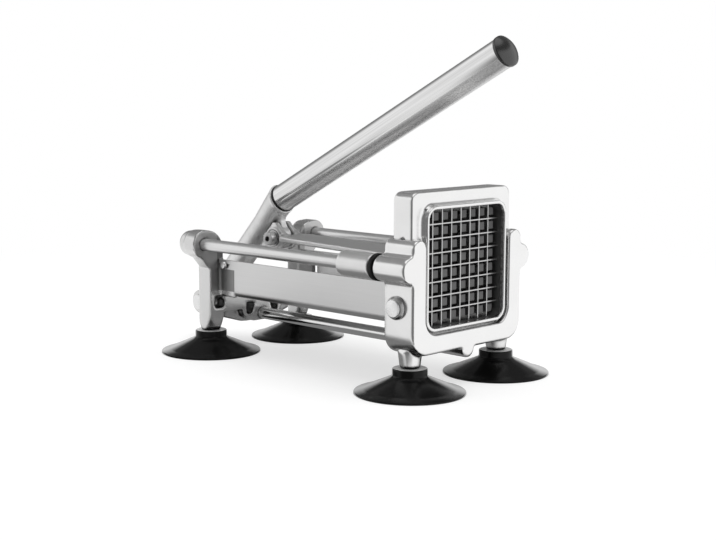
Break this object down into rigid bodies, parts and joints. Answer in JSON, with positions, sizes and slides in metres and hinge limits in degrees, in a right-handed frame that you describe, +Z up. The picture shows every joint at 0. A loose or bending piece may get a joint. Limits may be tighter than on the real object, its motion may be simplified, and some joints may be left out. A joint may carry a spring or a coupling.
{
  "type": "french fry cutter",
  "caption": "Lever-operated potato cutter: a cast frame holds a square blade grid, a finger block on guide rods pushes through it, and rubber suction cups hold it down.",
  "frame": {"origin": "on the table, under the middle of the whole machine's box at rest", "axes": "+Z up, +Y from the blade grid towards the lever's pivot, +X to the right when the blades are seen from the front"},
  "size_m": [0.164, 0.307, 0.2308],
  "materials": {
    "cast_front": "satin cast aluminium, light",
    "cast_blade_frame": "satin cast aluminium, light",
    "cast_rear": "satin cast aluminium",
    "cast_carriage": "satin cast aluminium",
    "cast_lever": "bead-blasted cast aluminium",
    "cast_link": "bead-blasted cast aluminium",
    "blade_steel": "thin stainless blades, satin",
    "polished_rod": "polished steel rod",
    "brushed_tube": "lengthwise brushed stainless tube",
    "trough_sheet": "satin stainless sheet",
    "turned_screw": "turned screw head, satin",
    "steel_screw": "bright zinc-plated steel",
    "dark_screw": "blackened steel screw",
    "bumper_rubber": "black rubber ring",
    "cup_rubber": "glossy black rubber",
    "pusher_plastic": "matt black plastic, fine grain",
    "ring_plastic": "black plastic ring",
    "cap_plastic": "glossy black plastic"
  },
  "bodies": {
    "frame": {"front_frame": "cast_front", "blade_frame": "cast_blade_frame", "blades_vertical": "blade_steel", "blades_horizontal": "blade_steel", "blade_frame_screws": "dark_screw", "guide_rod_left": "polished_rod", "guide_rod_right": "polished_rod", "tie_rod": "polished_rod", "rod_bumper_left": "bumper_rubber", "rod_bumper_right": "bumper_rubber", "trough": "trough_sheet", "trough_screws": "steel_screw", "rear_frame": "cast_rear", "lever_pivot_pin": "steel_screw", "cup_front_left": "cup_rubber", "cup_front_right": "cup_rubber", "cup_rear_left": "cup_rubber", "cup_rear_right": "cup_rubber", "cup_studs": "steel_screw"},
    "lock_left": {"lock_screw_left": "turned_screw"},
    "lock_right": {"lock_screw_right": "turned_screw"},
    "carriage": {"pusher_block": "pusher_plastic", "pusher_carriage": "cast_carriage", "pusher_screws": "dark_screw", "carriage_pivot_screws": "steel_screw"},
    "lever": {"lever_arm": "cast_lever", "handle_ring": "ring_plastic", "handle_tube": "brushed_tube", "handle_cap": "cap_plastic"},
    "link": {"link": "cast_link", "link_bolt": "steel_screw", "link_washers": "steel_screw", "link_nut": "steel_screw"}
  },
  "joints": [
    {"name": "lever_swing", "type": "hinge", "parent": "frame", "child": "lever", "pos_m": [0, 0.14331, 0.0285], "axis": [-1, 0, 0], "range_deg": [0, 60]},
    {"name": "link_hinge", "type": "hinge", "parent": "lever", "child": "link", "pos_m": [0, 0.06331, 0.085], "axis": [1, 0, 0], "range_deg": [0, 78.1]},
    {"name": "pusher_slide", "type": "slide", "parent": "frame", "child": "carriage", "axis": [0, 1, 0], "range_m": [0, 0.0964]},
    {"name": "lock_screw_left_out", "type": "slide", "parent": "frame", "child": "lock_left", "axis": [-1, 0, 0], "range_m": [0, 0.006]},
    {"name": "lock_screw_right_out", "type": "slide", "parent": "frame", "child": "lock_right", "axis": [1, 0, 0], "range_m": [0, 0.006]}
  ],
  "couplings": [
    {"joint": "link_hinge", "follows": "lever_swing", "ratio": 1.3005},
    {"joint": "pusher_slide", "follows": "lever_swing", "m_per_rad": 0.09196}
  ]
}
